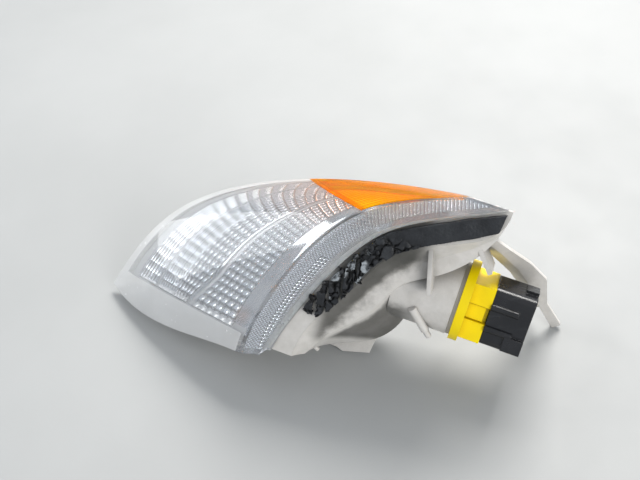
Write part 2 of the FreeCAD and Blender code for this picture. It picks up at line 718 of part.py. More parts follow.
box_outline(
    drawing,
    "Sizes.shell_half_y - 1", "Sizes.shell_half_y + Sizes.lug_rise",
    "-Sizes.lug_half_z", "Sizes.lug_half_z",
    (15, 18, -4, 4),
)
pad(shell, drawing, "Sizes.lug_length", "rim_lug")
drawing = sketch_in(shell, "latch_outline", offset="Sizes.shell_end - Sizes.latch_length")
box_outline(
    drawing,
    "Sizes.latch_y - Sizes.latch_half", "Sizes.latch_y + Sizes.latch_half",
    "Sizes.shell_half_z - 1", "Sizes.shell_half_z + Sizes.latch_rise",
    (-15, -8, 11, 14),
)
pad(shell, drawing, "Sizes.latch_length", "latch_catch")
drawing = sketch_in(shell, "cavity_outline", offset="Sizes.shell_start + Sizes.shell_floor")
box_outline(
    drawing,
    "-Sizes.shell_half_y + Sizes.shell_wall", "Sizes.shell_half_y - Sizes.shell_wall",
    "-Sizes.shell_half_z + Sizes.shell_wall", "Sizes.shell_half_z - Sizes.shell_wall",
    (-14, 14, -10, 10),
)
pocket(shell, drawing, "Sizes.shell_end", "plug_cavity")
blade_slots(shell, "shell_slots", "Sizes.shell_start - 1", "Sizes.shell_floor + 2")
keep(shell, "connector_shell", SEAT)

# Two flat blades that run from the socket floor into the plug cavity.
for side, label in ((1, "terminal_ground"), (-1, "terminal_feed")):
    blade = new_body(label)
    drawing = sketch_in(blade, label + "_outline", offset="Sizes.blade_start")
    centre = f"{side} * Sizes.blade_pitch / 2"
    box_outline(
        drawing,
        f"{centre} - Sizes.blade_thick / 2", f"{centre} + Sizes.blade_thick / 2",
        "-Sizes.blade_width / 2", "Sizes.blade_width / 2",
        (side * 5 - 0.4, side * 5 + 0.4, -3, 3),
    )
    pad(blade, drawing, "Sizes.blade_reach - Sizes.blade_start", label + "_pad")
    keep(blade, label, SEAT)

# ---------------------------------------------------------------- primitives on the axis

ACROSS = FreeCAD.Rotation(V(0, 1, 0), 90)


def rod(name, radius, start, length):
    """Cylinder along the socket axis, sizes bound to the sheet."""
    solid = doc.addObject("Part::Cylinder", name)
    solid.setExpression("Radius", radius)
    solid.setExpression("Height", length)
    solid.Placement = FreeCAD.Placement(V(0, 0, 0), ACROSS)
    solid.setExpression("Placement.Base.x", start)
    return solid


def ball(name, radius, centre):
    solid = doc.addObject("Part::Sphere", name)
    solid.setExpression("Radius", radius)
    solid.setExpression("Placement.Base.x", centre)
    return solid


def brick(name, low, high):
    """Box between two corners given as expressions."""
    solid = doc.addObject("Part::Box", name)
    for axis, extent, a, b in zip("xyz", ("Length", "Width", "Height"), low, high):
        solid.setExpression(extent, f"({b}) - ({a})")
        solid.setExpression("Placement.Base." + axis, a)
    return solid


def fused(name, *solids):
    union = doc.addObject("Part::MultiFuse", name)
    union.Shapes = list(solids)
    return union


def cut_away(name, base, tool):
    result = doc.addObject("Part::Cut", name)
    result.Base = base
    result.Tool = tool
    return result


# Metal bayonet sleeve with two hooked slots.
sleeve_body = fused(
    "sleeve_solid",
    rod(
        "sleeve_tube", "Sizes.sleeve_radius + Sizes.sleeve_wall",
        "Sizes.sleeve_mouth", "Sizes.sleeve_end - Sizes.sleeve_mouth",
    ),
    rod("sleeve_flange", "Sizes.sleeve_rim", "Sizes.sleeve_end - Sizes.sleeve_wall", "Sizes.sleeve_wall"),
)
sleeve_length = "Sizes.sleeve_end - Sizes.sleeve_mouth + 2"
slot_tools = [rod("sleeve_bore", "Sizes.sleeve_radius", "Sizes.sleeve_mouth - 1", sleeve_length)]
for side in (1, -1):
    near, far = ("0", "12") if side > 0 else ("-12", "0")
    half = "Sizes.slot_width / 2"
    offset = f"{side} * Sizes.hook_offset"
    link = (f"-{half}", f"{offset} + {half}") if side > 0 else (f"{offset} - {half}", half)
    hook_from, hook_to = ("Sizes.hook_end", near, f"-{half}"), ("Sizes.slot_end", far, half)
    link_from, link_to = ("Sizes.link_end", near, link[0]), ("Sizes.slot_end", far, link[1])
    slot_tools.append(brick(f"hook_{side + 1}", hook_from, hook_to))
    slot_tools.append(brick(f"link_{side + 1}", link_from, link_to))
    slot_tools.append(
        brick(
            f"entry_{side + 1}",
            ("Sizes.sleeve_mouth - 1", near, f"{offset} - {half}"),
            ("Sizes.slot_end", far, f"{offset} + {half}"),
        )
    )
keep(cut_away("bayonet_sleeve", sleeve_body, fused("sleeve_tools", *slot_tools)), "bayonet_sleeve", SEAT)

# Bulb: brass cap, pins, black pellet, solder contact, glass, stem, posts and filament.
cap = cut_away(
    "bulb_cap",
    rod("cap_tube", "Sizes.cap_radius", "Sizes.cap_mouth", "Sizes.cap_end - Sizes.cap_mouth"),
    rod(
        "cap_bore", "Sizes.cap_radius - Sizes.cap_wall",
        "Sizes.cap_mouth - 1", "Sizes.cap_end - Sizes.cap_mouth + 2",
    ),
)
keep(cap, "bulb_cap", SEAT)

pin_rod = doc.addObject("Part::Cylinder", "pin_rod")
pin_rod.setExpression("Radius", "Sizes.pin_radius")
pin_rod.setExpression("Height", "2 * Sizes.pin_reach")
pin_rod.Placement = FreeCAD.Placement(V(0, 0, 0), FreeCAD.Rotation(V(1, 0, 0), -90))
pin_rod.setExpression("Placement.Base.x", "Sizes.pin_x")
pin_rod.setExpression("Placement.Base.y", "-Sizes.pin_reach")
pins = cut_away("bulb_pins", pin_rod, rod("pin_relief", "Sizes.cap_radius", "Sizes.pin_x - 3", "6"))
keep(pins, "bulb_pins", SEAT)

pellet = revolved_body("bulb_pellet", [
    ("Sizes.pellet_start", "0", (-3.4, 0)),
    ("Sizes.pellet_start", "Sizes.cap_radius - Sizes.cap_wall", (-3.4, 7.1)),
    ("Sizes.cap_end", "Sizes.cap_radius - Sizes.cap_wall", (-2, 7.1)),
    ("Sizes.pellet_end", "Sizes.pellet_top", (-0.8, 4.5)),
    ("Sizes.pellet_end", "0", (-0.8, 0)),
])
keep(pellet, "bulb_pellet", SEAT)
solder = revolved_body("bulb_contact", [
    ("Sizes.pellet_end", "0", (-0.8, 0)),
    ("Sizes.pellet_end", "Sizes.solder_radius", (-0.8, 2.2)),
    ("Sizes.pellet_end / 4", "Sizes.solder_radius", (-0.2, 2.2)),
    ("Sizes.solder_end", "Sizes.solder_radius / 2", (0.2, 1.1)),
    ("Sizes.solder_end", "0", (0.2, 0)),
])
keep(solder, "bulb_contact", SEAT)

glass = cut_away(
    "bulb_glass",
    fused(
        "glass_outer",
        ball("globe", "Sizes.glass_radius", "Sizes.glass_centre"),
        rod("glass_neck", "Sizes.glass_neck", "Sizes.neck_start", "Sizes.neck_end - Sizes.neck_start"),
    ),
    fused(
        "glass_inner",
        ball("globe_inner", "Sizes.glass_radius - Sizes.glass_wall", "Sizes.glass_centre"),
        rod(
            "neck_inner", "Sizes.glass_neck - Sizes.glass_wall",
            "Sizes.neck_start", "Sizes.neck_end - Sizes.neck_start + 1",
        ),
    ),
)
keep(glass, "bulb_glass", SEAT)
stem = revolved_body("bulb_stem", [
    ("Sizes.stem_start", "0", (-13.4, 0)),
    ("Sizes.stem_start", "Sizes.stem_flare", (-13.4, 5.6)),
    ("Sizes.stem_start - 1.2", "Sizes.stem_flare", (-14.6, 5.6)),
    ("Sizes.stem_start - 3", "Sizes.stem_radius", (-16.4, 2.8)),
    ("Sizes.stem_end", "Sizes.stem_radius", (-24, 2.8)),
    ("Sizes.stem_end", "0", (-24, 0)),
])
keep(stem, "bulb_stem", SEAT)
posts = []
for side in (1, -1):
    post = rod(f"post_{side + 1}", "Sizes.post_radius", "Sizes.post_end", "Sizes.stem_end - Sizes.post_end")
    post.setExpression("Placement.Base.y", f"{side} * Sizes.post_half_gap")
    posts.append(post)
keep(fused("filament_posts", *posts), "filament_posts", SEAT)


def coil(radius, wire, pitch, turns):
    """Round wire wound along z from the origin, on a smooth curve with twelve points in each turn."""
    steps = 12
    points = []
    for step in range(round(turns * steps) + 1):
        angle = 2 * math.pi * step / steps
        points.append(V(radius * math.cos(angle), radius * math.sin(angle), pitch * step / steps))
    path = Part.BSplineCurve()
    path.interpolate(points)
    heading = path.tangent(path.FirstParameter)[0]
    profile = Part.Wire(Part.makeCircle(wire, points[0], heading))
    return Part.Wire(path.toShape()).makePipeShell([profile], True, True)


span = 2 * (size("post_half_gap") - size("post_radius") - size("coil_wire")) - 0.05
winding = coil(size("coil_radius"), size("coil_wire"), size("coil_pitch"), span / size("coil_pitch"))
winding.translate(V(0, 0, -span / 2))
winding.rotate(V(0, 0, 0), V(1, 0, 0), 90)
winding.translate(V(size("post_end") + size("coil_radius") / 2, 0, 0))
feature("filament", winding, SEAT)

# Sprung centre contact behind the bulb.
button = revolved_body("contact_button", [
    ("Sizes.button_start", "0", (0.25, 0)),
    ("Sizes.button_start", "Sizes.button_radius", (0.25, 2.6)),
    ("Sizes.carrier_start", "Sizes.button_radius", (1.3, 2.6)),
    ("Sizes.carrier_start", "Sizes.button_shank", (1.3, 1.4)),
    ("Sizes.carrier_start + Sizes.carrier_thick", "Sizes.button_shank", (2.9, 1.4)),
    ("Sizes.carrier_start + Sizes.carrier_thick", "0", (2.9, 0)),
])
keep(button, "contact_button", SEAT)
carrier = ring_body(
    "contact_carrier", "Sizes.carrier_start", "Sizes.carrier_thick",
    "Sizes.carrier_radius", "Sizes.button_shank",
)
keep(carrier, "contact_carrier", SEAT)
spring = coil(size("spring_radius"), size("spring_wire"), size("spring_pitch"), size("spring_turns"))
spring.rotate(V(0, 0, 0), V(0, 1, 0), 90)
spring.translate(V(size("carrier_start") + size("carrier_thick") + size("spring_wire") + 0.02, 0, 0))
feature("contact_spring", spring, SEAT)

# ---------------------------------------------------------------- checks and export

doc.recompute()
for thing in doc.Objects:
    if "Invalid" in thing.State or "Error" in thing.State:
        raise RuntimeError("bad object " + thing.Name)
for piece in PIECES:
    if piece.Shape.isNull() or not piece.Shape.isValid():
        raise RuntimeError("bad shape " + piece.Label)
    print(piece.Label, len(piece.Shape.Solids), round(piece.Shape.Volume, 1), piece.Shape.BoundBox)
    piece.Shape.exportStep("parts/" + piece.Label + ".step")
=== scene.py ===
import json
import math

import bmesh
import bpy
import numpy as np
from mathutils import Matrix, Vector, noise

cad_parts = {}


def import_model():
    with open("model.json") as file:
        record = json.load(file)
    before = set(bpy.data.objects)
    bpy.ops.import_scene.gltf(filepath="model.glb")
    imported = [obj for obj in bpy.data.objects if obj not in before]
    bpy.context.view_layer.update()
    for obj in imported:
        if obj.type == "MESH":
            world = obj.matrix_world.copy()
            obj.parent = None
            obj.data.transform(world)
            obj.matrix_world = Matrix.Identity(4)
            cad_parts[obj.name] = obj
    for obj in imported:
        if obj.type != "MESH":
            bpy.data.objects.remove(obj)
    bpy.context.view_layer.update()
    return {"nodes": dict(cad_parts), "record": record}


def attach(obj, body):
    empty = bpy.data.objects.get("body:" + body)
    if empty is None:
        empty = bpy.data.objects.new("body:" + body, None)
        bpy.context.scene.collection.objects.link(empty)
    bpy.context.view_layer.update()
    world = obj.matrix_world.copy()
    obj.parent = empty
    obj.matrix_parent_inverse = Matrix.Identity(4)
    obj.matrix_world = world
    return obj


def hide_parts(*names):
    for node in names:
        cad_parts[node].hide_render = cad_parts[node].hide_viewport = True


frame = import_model()
nodes = frame["nodes"]

# Lamp axes, in millimetres: x rearward along the socket axis, y outboard, z up in the car.
REST = (
    Matrix.Translation(Vector((1.67, -12.51, 80.64)))
    @ Matrix.Rotation(math.radians(-20.995), 4, "Z")
    @ Matrix.Rotation(math.radians(9.224), 4, "Y")
    @ Matrix.Rotation(math.radians(58.332), 4, "X")
)
TO_WORLD = np.array(REST)
MM = 1000  # millimetres in a metre


def world(points):
    """Row frame points in metres from lamp points in millimetres."""
    return (np.asarray(points, float) @ TO_WORLD[:3, :3].T + TO_WORLD[:3, 3]) / MM


# ---------------------------------------------------------------- materials

class Shader:
    """A Principled material with a few helpers for building its node tree."""

    def __init__(self, name, **sockets):
        self.material = bpy.data.materials.new(name)
        self.material.use_nodes = True
        self.tree = self.material.node_tree
        self.surface = self.tree.nodes["Principled BSDF"]
        for socket, value in sockets.items():
            self.surface.inputs[socket.replace("_", " ")].default_value = value
        self.coordinates = self.node("ShaderNodeTexCoord").outputs["Object"]

    def node(self, kind, **settings):
        made = self.tree.nodes.new(kind)
        for key, value in settings.items():
            setattr(made, key, value)
        return made

    def link(self, value, socket):
        if isinstance(value, bpy.types.NodeSocket):
            self.tree.links.new(value, socket)
        else:
            socket.default_value = value

    def noise(self, scale, detail=4, roughness=0.55, stretch=(1, 1, 1), distortion=0):
        """Cloudy noise with about as many lumps in a metre as the scale says."""
        mapping = self.node("ShaderNodeMapping")
        mapping.inputs["Scale"].default_value = stretch
        self.link(self.coordinates, mapping.inputs["Vector"])
        made = self.node("ShaderNodeTexNoise")
        self.link(mapping.outputs[0], made.inputs["Vector"])
        self.link(scale, made.inputs["Scale"])
        self.link(detail, made.inputs["Detail"])
        self.link(roughness, made.inputs["Roughness"])
        self.link(distortion, made.inputs["Distortion"])
        return made.outputs["Fac"]

    def cells(self, scale):
        """Distance from the nearest of many scattered points."""
        made = self.node("ShaderNodeTexVoronoi")
        self.link(self.coordinates, made.inputs["Vector"])
        self.link(scale, made.inputs["Scale"])
        return made.outputs["Distance"]

    def ramp(self, value, low, high, start=0.0, end=1.0):
        """Soft step from start to end as the value goes from low to high."""
        made = self.node("ShaderNodeMapRange", interpolation_type="SMOOTHSTEP")
        self.link(value, made.inputs["Value"])
        self.link(low, made.inputs["From Min"])
        self.link(high, made.inputs["From Max"])
        self.link(start, made.inputs["To Min"])
        self.link(end, made.inputs["To Max"])
        return made.outputs[0]

    def math(self, operation, a, b):
        made = self.node("ShaderNodeMath", operation=operation)
        self.link(a, made.inputs[0])
        self.link(b, made.inputs[1])
        return made.outputs[0]

    def plus(self, a, b):
        return self.math("ADD", a, b)

    def minus(self, a, b):
        return self.math("SUBTRACT", a, b)

    def times(self, a, b):
        return self.math("MULTIPLY", a, b)

    def mix(self, factor, a, b):
        made = self.node("ShaderNodeMix", data_type="RGBA")
        self.link(factor, made.inputs["Factor"])
        self.link(a, made.inputs["A"])
        self.link(b, made.inputs["B"])
        return made.outputs["Result"]

    def attribute(self, name):
        return self.node("ShaderNodeAttribute", attribute_name=name).outputs["Fac"]

    def cavity(self, distance):
        """Near 1 on open surfaces and 0 in corners."""
        made = self.node("ShaderNodeAmbientOcclusion", samples=6)
        made.inputs["Distance"].default_value = distance
        return made.outputs["AO"]

    def lamp_place(self):
        """Rearward, outboard and upward places in the lamp's own millimetres."""
        back = self.node("ShaderNodeMapping", vector_type="TEXTURE")
        back.inputs["Location"].default_value = REST.translation / MM
        back.inputs["Rotation"].default_value = REST.to_euler()
        back.inputs["Scale"].default_value = (1 / MM, 1 / MM, 1 / MM)
        self.link(self.coordinates, back.inputs["Vector"])
        parts = self.node("ShaderNodeSeparateXYZ")
        self.link(back.outputs[0], parts.inputs[0])
        return parts.outputs["X"], parts.outputs["Y"], parts.outputs["Z"]

    def bump(self, height, distance, strength, edge=0.0):
        """Surface relief, with edges rounded over the given radius in metres."""
        made = self.node("ShaderNodeBump")
        self.link(height, made.inputs["Height"])
        made.inputs["Distance"].default_value = distance
        made.inputs["Strength"].default_value = strength
        if edge:
            rounded = self.node("ShaderNodeBevel", samples=4)
            rounded.inputs["Radius"].default_value = edge
            self.link(rounded.outputs[0], made.inputs["Normal"])
        self.set(Normal=made.outputs[0])

    def set(self, **sockets):
        for socket, value in sockets.items():
            self.link(value, self.surface.inputs[socket.replace("_", " ")])


def shade(r, g, b):
    return (r, g, b, 1.0)


def clear_lens_material():
    """Aged clear plastic: frosted borders, silver behind the fluting with painted shade in its
    grooves, and a painted orange reflection of the amber part.
    """
    s = Shader("clear_lens_plastic", IOR=1.42)
    frost = s.attribute("frost")
    amber_reflection = s.attribute("amber_reflection")
    silver = s.attribute("silver")
    groove = s.attribute("groove")
    haze = s.ramp(s.noise(60, 5), 0.35, 0.75)
    scuffs = s.ramp(s.noise(900, 3, stretch=(1, 0.12, 1)), 0.60, 0.75)
    base = s.mix(haze, shade(0.97, 0.98, 1.0), shade(0.90, 0.92, 0.94))
    # Painted shade: grooves between the silvered cells darkened to grey.
    base = s.mix(s.times(silver, groove), base, shade(0.45, 0.47, 0.48))
    base = s.mix(frost, base, shade(0.90, 0.89, 0.86))
    # Painted reflection of the amber part and bulb in orange, strongest along the grooves.
    reflected_amber = s.times(amber_reflection, s.plus(0.30, s.times(groove, 0.7)))
    base = s.mix(reflected_amber, base, shade(0.95, 0.42, 0.12))
    clear = s.minus(0.93, s.times(frost, 0.62))
    clear = s.minus(clear, s.times(haze, 0.05))
    clear = s.minus(clear, s.times(silver, 0.40))
    rough = s.plus(0.035, s.times(frost, 0.30))
    rough = s.plus(rough, s.times(scuffs, 0.06))
    s.set(Base_Color=base, Transmission_Weight=clear, Roughness=rough)
    s.set(Metallic=s.times(silver, 0.62))
    s.bump(s.plus(scuffs, s.noise(220, 4)), 0.00002, 0.25)
    return s.material


def amber_material():
    """Amber plastic with a paler glow inside, painted shade in the grooves of its fluting and darker
    welded edges.
    """
    s = Shader("amber_lens_plastic", IOR=1.22)
    glow = s.attribute("glow")
    edge = s.attribute("edge")
    silver = s.attribute("silver")
    groove = s.attribute("groove")
    mottle = s.noise(70, 4)
    base = s.mix(s.ramp(mottle, 0.3, 0.7), shade(1.0, 0.40, 0.0), shade(1.0, 0.45, 0.0))
    base = s.mix(silver, base, shade(1.0, 0.52, 0.0))
    base = s.mix(glow, base, shade(1.0, 0.72, 0.0))
    # Painted shade: the grooves of the silvered fluting darkened.
    base = s.mix(s.times(groove, silver), base, shade(0.55, 0.20, 0.0))
    base = s.mix(edge, base, shade(0.98, 0.20, 0.0))
    s.set(Base_Color=base)
    clear = s.minus(0.86, s.times(mottle, 0.12))
    s.set(Transmission_Weight=s.minus(clear, s.times(silver, 0.5)))
    s.set(Metallic=s.times(silver, 0.45))
    s.set(Roughness=s.ramp(s.noise(400, 4), 0.3, 0.8, 0.05, 0.12))
    s.bump(s.noise(260, 4), 0.00002, 0.25)
    return s.material


def housing_material():
    """Warm grey moulding with painted shadow in the bowl under the lens, painted shade in the corners
    and white specks.
    """
    s = Shader("aged_grey_housing", IOR=1.49)
    broad = s.noise(14, 5, 0.6)
    fine = s.noise(120, 6, 0.65)
    grain = s.noise(2600, 2, 0.5)
    base = s.mix(s.ramp(fine, 0.3, 0.75), shade(0.68, 0.65, 0.612), shade(0.57, 0.545, 0.505))
    # Painted shade: corners darkened from ambient occlusion.
    corner_shade = s.ramp(s.cavity(0.012), 0.30, 0.85, 1.0, 0.0)
    rearward, outboard, upward = s.lamp_place()
    # Two layers of painted shadow in the bowl, in millimetres: the shadow of the lens and foam
    # overhang under the foam, and shade low down on its belly.
    wavy = s.plus(upward, s.times(fine, 5))
    shadow_layers = s.plus(s.ramp(wavy, -7.5, -3.0), s.ramp(wavy, -11.5, -8.5, 0.88, 0.0))
    bowl_length = s.times(s.ramp(rearward, 5, 13), s.ramp(rearward, 42, 54, 1.0, 0.0))
    shadow_under_lens = s.times(bowl_length, s.ramp(outboard, -54, -48))
    shadow_under_lens = s.times(shadow_under_lens, shadow_layers)
    painted_shade = s.times(s.ramp(broad, 0.28, 0.66, 0.8, 1.0), shadow_under_lens)
    painted_shade = s.math("MAXIMUM", s.times(painted_shade, 0.95), s.times(corner_shade, 0.5))
    # The painted shadow and corner shade darken the grey to near black.
    base = s.mix(painted_shade, base, shade(0.018, 0.018, 0.013))
    specks = s.ramp(s.cells(900), 0.05, 0.16, 1.0, 0.0)
    specks = s.times(specks, s.ramp(s.noise(45, 3), 0.58, 0.66))
    base = s.mix(specks, base, shade(0.72, 0.71, 0.67))
    s.set(Base_Color=base)
    rough = s.ramp(fine, 0.25, 0.8, 0.30, 0.48)
    s.set(Roughness=s.plus(rough, s.times(painted_shade, 0.12)))
    s.surface.inputs["Subsurface Weight"].default_value = 0.08
    s.surface.inputs["Subsurface Radius"].default_value = (0.004, 0.0036, 0.003)
    height = s.plus(s.times(grain, 0.35), s.times(fine, 0.9))
    height = s.plus(height, s.times(specks, 2.0))
    s.bump(height, 0.00007, 0.5, edge=0.0005)
    return s.material


def reflector_material():
    """Vacuum-metallised plastic, slightly clouded."""
    s = Shader("metallised_reflector", Metallic=1.0)
    cloud = s.ramp(s.noise(30, 4), 0.35, 0.75)
    s.set(Base_Color=s.mix(cloud, shade(0.95, 0.955, 0.96), shade(0.84, 0.85, 0.86)))
    s.set(Roughness=s.ramp(s.noise(160, 4), 0.3, 0.8, 0.08, 0.18))
    s.bump(s.noise(120, 3), 0.0001, 0.35)
    return s.material


def foam_material():
    """Black closed-cell foam, greyed where chunks have worn, and near black in the cracks from
    painted shade.
    """
    s = Shader("cracked_black_foam", IOR=1.45)
    worn = s.attribute("worn")
    deep = s.attribute("deep")
    coarse = s.noise(260, 5, 0.65)
    pores = s.cells(1500)
    dust = s.ramp(s.noise(90, 5, 0.6), 0.45, 0.72)
    base = s.mix(s.ramp(coarse, 0.3, 0.75), shade(0.009, 0.010, 0.012), shade(0.022, 0.024, 0.028))
    base = s.mix(s.times(dust, 0.35), base, shade(0.050, 0.055, 0.06))
    base = s.mix(s.times(worn, s.ramp(coarse, 0.35, 0.6)), base, shade(0.40, 0.43, 0.45))
    # Painted shade: near black down in the cracks.
    base = s.mix(deep, base, shade(0.004, 0.004, 0.004))
    s.set(Base_Color=base)
    s.set(Roughness=s.ramp(coarse, 0.3, 0.75, 0.38, 0.75))
    relief = s.plus(s.times(pores, 0.5), s.times(coarse, 1.5))
    s.bump(relief, 0.0002, 0.6)
    return s.material


def plastic_material(
    name, light, dark, smoothest, roughest,
    grain=1800, scuff=None, gloss=0.5, edge=0.0004, corner_shade_amount=0.35,
):
    """Moulded plastic: mottled colour, painted shade in the corners, fine mould grain and rubbed
    streaks.
    """
    s = Shader(name, IOR=1.5, Specular_IOR_Level=gloss)
    mottle = s.noise(85, 5, 0.6)
    base = s.mix(s.ramp(mottle, 0.3, 0.75), shade(*light), shade(*dark))
    # Painted shade: corners darkened from ambient occlusion, by the given amount.
    corner_shade = s.ramp(s.cavity(0.004), 0.3, 0.9, corner_shade_amount, 0.0)
    base = s.mix(corner_shade, base, shade(*[channel * 0.45 for channel in dark]))
    rub = s.ramp(s.noise(240, 4, stretch=(0.15, 1, 1)), 0.58, 0.78)
    if scuff:
        base = s.mix(s.times(rub, 0.4), base, shade(*scuff))
    s.set(Base_Color=base)
    rough = s.ramp(mottle, 0.25, 0.8, smoothest, roughest)
    s.set(Roughness=s.plus(rough, s.times(rub, 0.12)))
    s.bump(s.plus(s.noise(grain, 3), s.times(rub, 0.8)), 0.00004, 0.5, edge=edge)
    return s.material


def metal_material(name, bright, dull, smoothest, roughest):
    """Worn metal with a fine stamped grain."""
    s = Shader(name, Metallic=1.0)
    stamped = s.noise(500, 5, 0.6)
    base = s.mix(s.ramp(s.noise(180, 5), 0.35, 0.7), shade(*bright), shade(*dull))
    s.set(Base_Color=base, Roughness=s.ramp(stamped, 0.25, 0.8, smoothest, roughest))
    s.bump(stamped, 0.00003, 0.5, edge=0.00015)
    return s.material


def glass_material(name, light, dark, rough):
    """Clear or tinted glass with faint swirls."""
    s = Shader(name, IOR=1.5, Transmission_Weight=1.0)
    swirl = s.noise(55, 4, distortion=0.6)
    s.set(Base_Color=s.mix(swirl, shade(*light), shade(*dark)))
    s.set(Roughness=s.ramp(s.noise(300, 4), 0.3, 0.8, rough, rough + 0.05))
    s.bump(swirl, 0.00005, 0.2)
    return s.material


def sealant_material():
    """Lumpy off-white bead."""
    s = Shader("cured_sealant", IOR=1.45, Subsurface_Weight=0.15)
    lumps = s.noise(420, 5)
    tone = s.ramp(lumps, 0.3, 0.7)
    s.set(Base_Color=s.mix(tone, shade(0.62, 0.61, 0.57), shade(0.48, 0.47, 0.43)))
    s.set(Roughness=s.ramp(lumps, 0.3, 0.8, 0.45, 0.65))
    s.bump(lumps, 0.0002, 0.5)
    return s.material


def ceramic_material(name, light, dark, smoothest, roughest):
    """Fired or pressed insulator with a flowing, uneven tone."""
    s = Shader(name, IOR=1.52)
    flow = s.noise(320, 5)
    s.set(Base_Color=s.mix(s.ramp(flow, 0.3, 0.75), shade(*light), shade(*dark)))
    s.set(Roughness=s.ramp(flow, 0.3, 0.8, smoothest, roughest))
    s.bump(flow, 0.00006, 0.4, edge=0.0002)
    return s.material


# Plastic, metal and ceramic: light and dark colour, then the smoothest and roughest value.
# Glass: light and dark tint, then the roughness.
MATERIALS = {
    "clear_lens": clear_lens_material(),
    "amber_lens": amber_material(),
    "sealant": sealant_material(),
    "grey_housing": housing_material(),
    "reflector_coat": reflector_material(),
    "black_foam": foam_material(),
    "yellow_socket": plastic_material(
        "yellow_socket_plastic", (1.0, 0.76, 0.0), (0.93, 0.68, 0.0), 0.30, 0.42,
        gloss=0.3, corner_shade_amount=0.5,
    ),
    "gasket_rubber": plastic_material(
        "gasket_rubber", (0.60, 0.57, 0.54), (0.50, 0.475, 0.45), 0.55, 0.75,
        grain=900, corner_shade_amount=0.15,
    ),
    "black_connector": plastic_material(
        "glossy_black_plastic", (0.006, 0.006, 0.007), (0.012, 0.012, 0.014), 0.18, 0.30,
        scuff=(0.05, 0.055, 0.06), gloss=0.6, edge=0.0008,
    ),
    "tinned_metal": metal_material(
        "tinned_brass", (0.76, 0.74, 0.70), (0.55, 0.53, 0.50), 0.22, 0.42
    ),
    "bulb_brass": metal_material(
        "stamped_brass", (0.78, 0.60, 0.30), (0.55, 0.40, 0.18), 0.22, 0.40
    ),
    "solder": metal_material(
        "dull_solder", (0.62, 0.62, 0.63), (0.42, 0.42, 0.43), 0.32, 0.55
    ),
    "tungsten": metal_material(
        "drawn_tungsten", (0.42, 0.42, 0.43), (0.26, 0.26, 0.27), 0.25, 0.45
    ),
    "spring_steel": metal_material(
        "spring_steel", (0.66, 0.66, 0.67), (0.48, 0.48, 0.49), 0.18, 0.35
    ),
    "contact_brass": metal_material(
        "contact_brass", (0.82, 0.66, 0.36), (0.62, 0.46, 0.22), 0.18, 0.36
    ),
    "black_glass": ceramic_material(
        "black_glass", (0.015, 0.012, 0.014), (0.04, 0.035, 0.04), 0.10, 0.25
    ),
    "carrier_fibre": ceramic_material(
        "pressed_fibre", (0.16, 0.07, 0.035), (0.10, 0.04, 0.02), 0.55, 0.75
    ),
    "bulb_glass": glass_material("amber_bulb_glass", (1.0, 0.48, 0.10), (1.0, 0.42, 0.06), 0.01),
    "clear_glass": glass_material("clear_stem_glass", (0.93, 0.96, 0.95), (0.88, 0.92, 0.91), 0.02),
}

for entry in frame["record"]["subparts"]:
    node = nodes[entry["node"]]
    node.data.materials.clear()
    node.data.materials.append(MATERIALS[entry["material_slot"]])


# ---------------------------------------------------------------- lens surfaces

# Lens slices from the inboard side to the rear tip, in lamp millimetres:
# top edge x and y, lower edge x, y and z, and depth of the top band.
SLICES = np.array([
    (-24.0, -80.0, -121.5, -95.0, -50.0, 12.0),
    (-19.5, -40.0, -106.0, -53.0, -50.0, 17.0),
    (-6.0, -7.0, -80.0, -19.0, -49.5, 18.5),
    (10.0, 15.5, -31.5, 10.7, -39.0, 20.0),
    (34.0, 31.0, 25.3, 31.1, -21.0, 23.0),
    (57.5, 40.5, 57.0, 39.6, -6.0, 18.0),
])
TOPS = np.column_stack([SLICES[:, :2], np.zeros(len(SLICES))])
LOWS = SLICES[:, 2:5]
WALL = 2.5  # mm
BULGE = 3.0  # mm, forward swelling of the face at its inboard end


def lengths(points):
    """Share of the whole length at each point of a path."""
    steps = np.linalg.norm(np.diff(points, axis=0), axis=1)
    return np.concatenate([[0.0], np.cumsum(steps)]) / steps.sum()


KNOTS = (lengths(TOPS) + lengths(LOWS)) / 2


def powers(u):
    """Cubic basis that bends only at the two middle slices, so it meets all six."""
    u = np.asarray(u, float)
    bends = [np.maximum(u - knot, 0) ** 3 for knot in KNOTS[2:4]]
    return np.stack([u ** 0, u, u ** 2, u ** 3] + bends, axis=-1)


CURVES = np.linalg.solve(powers(KNOTS), np.column_stack([TOPS, LOWS, SLICES[:, 5]]))
FIRST_DROP = math.hypot(LOWS[0, 1] - TOPS[0, 1], LOWS[0, 2])

# Rows across the lens: forward along the top band, down the face and back along the lower wall.
BAND_ROWS, BEND_ROWS, FACE_ROWS, LOWER_ROWS = 84, 4, 250, 14
ROWS = (
    [("band", f) for f in np.linspace(0, 1, BAND_ROWS)]
    + [("top", f) for f in np.linspace(0, 1, BEND_ROWS + 2)[1:-1]]
    + [("face", f) for f in np.linspace(0, 1, FACE_ROWS)]
    + [("low", f) for f in np.linspace(0, 1, BEND_ROWS + 2)[1:-1]]
    + [("under", f) for f in np.linspace(0, 1, LOWER_ROWS)]
)
KIND = np.array([kind for kind, _ in ROWS])
ALONG = np.array([f for _, f in ROWS])


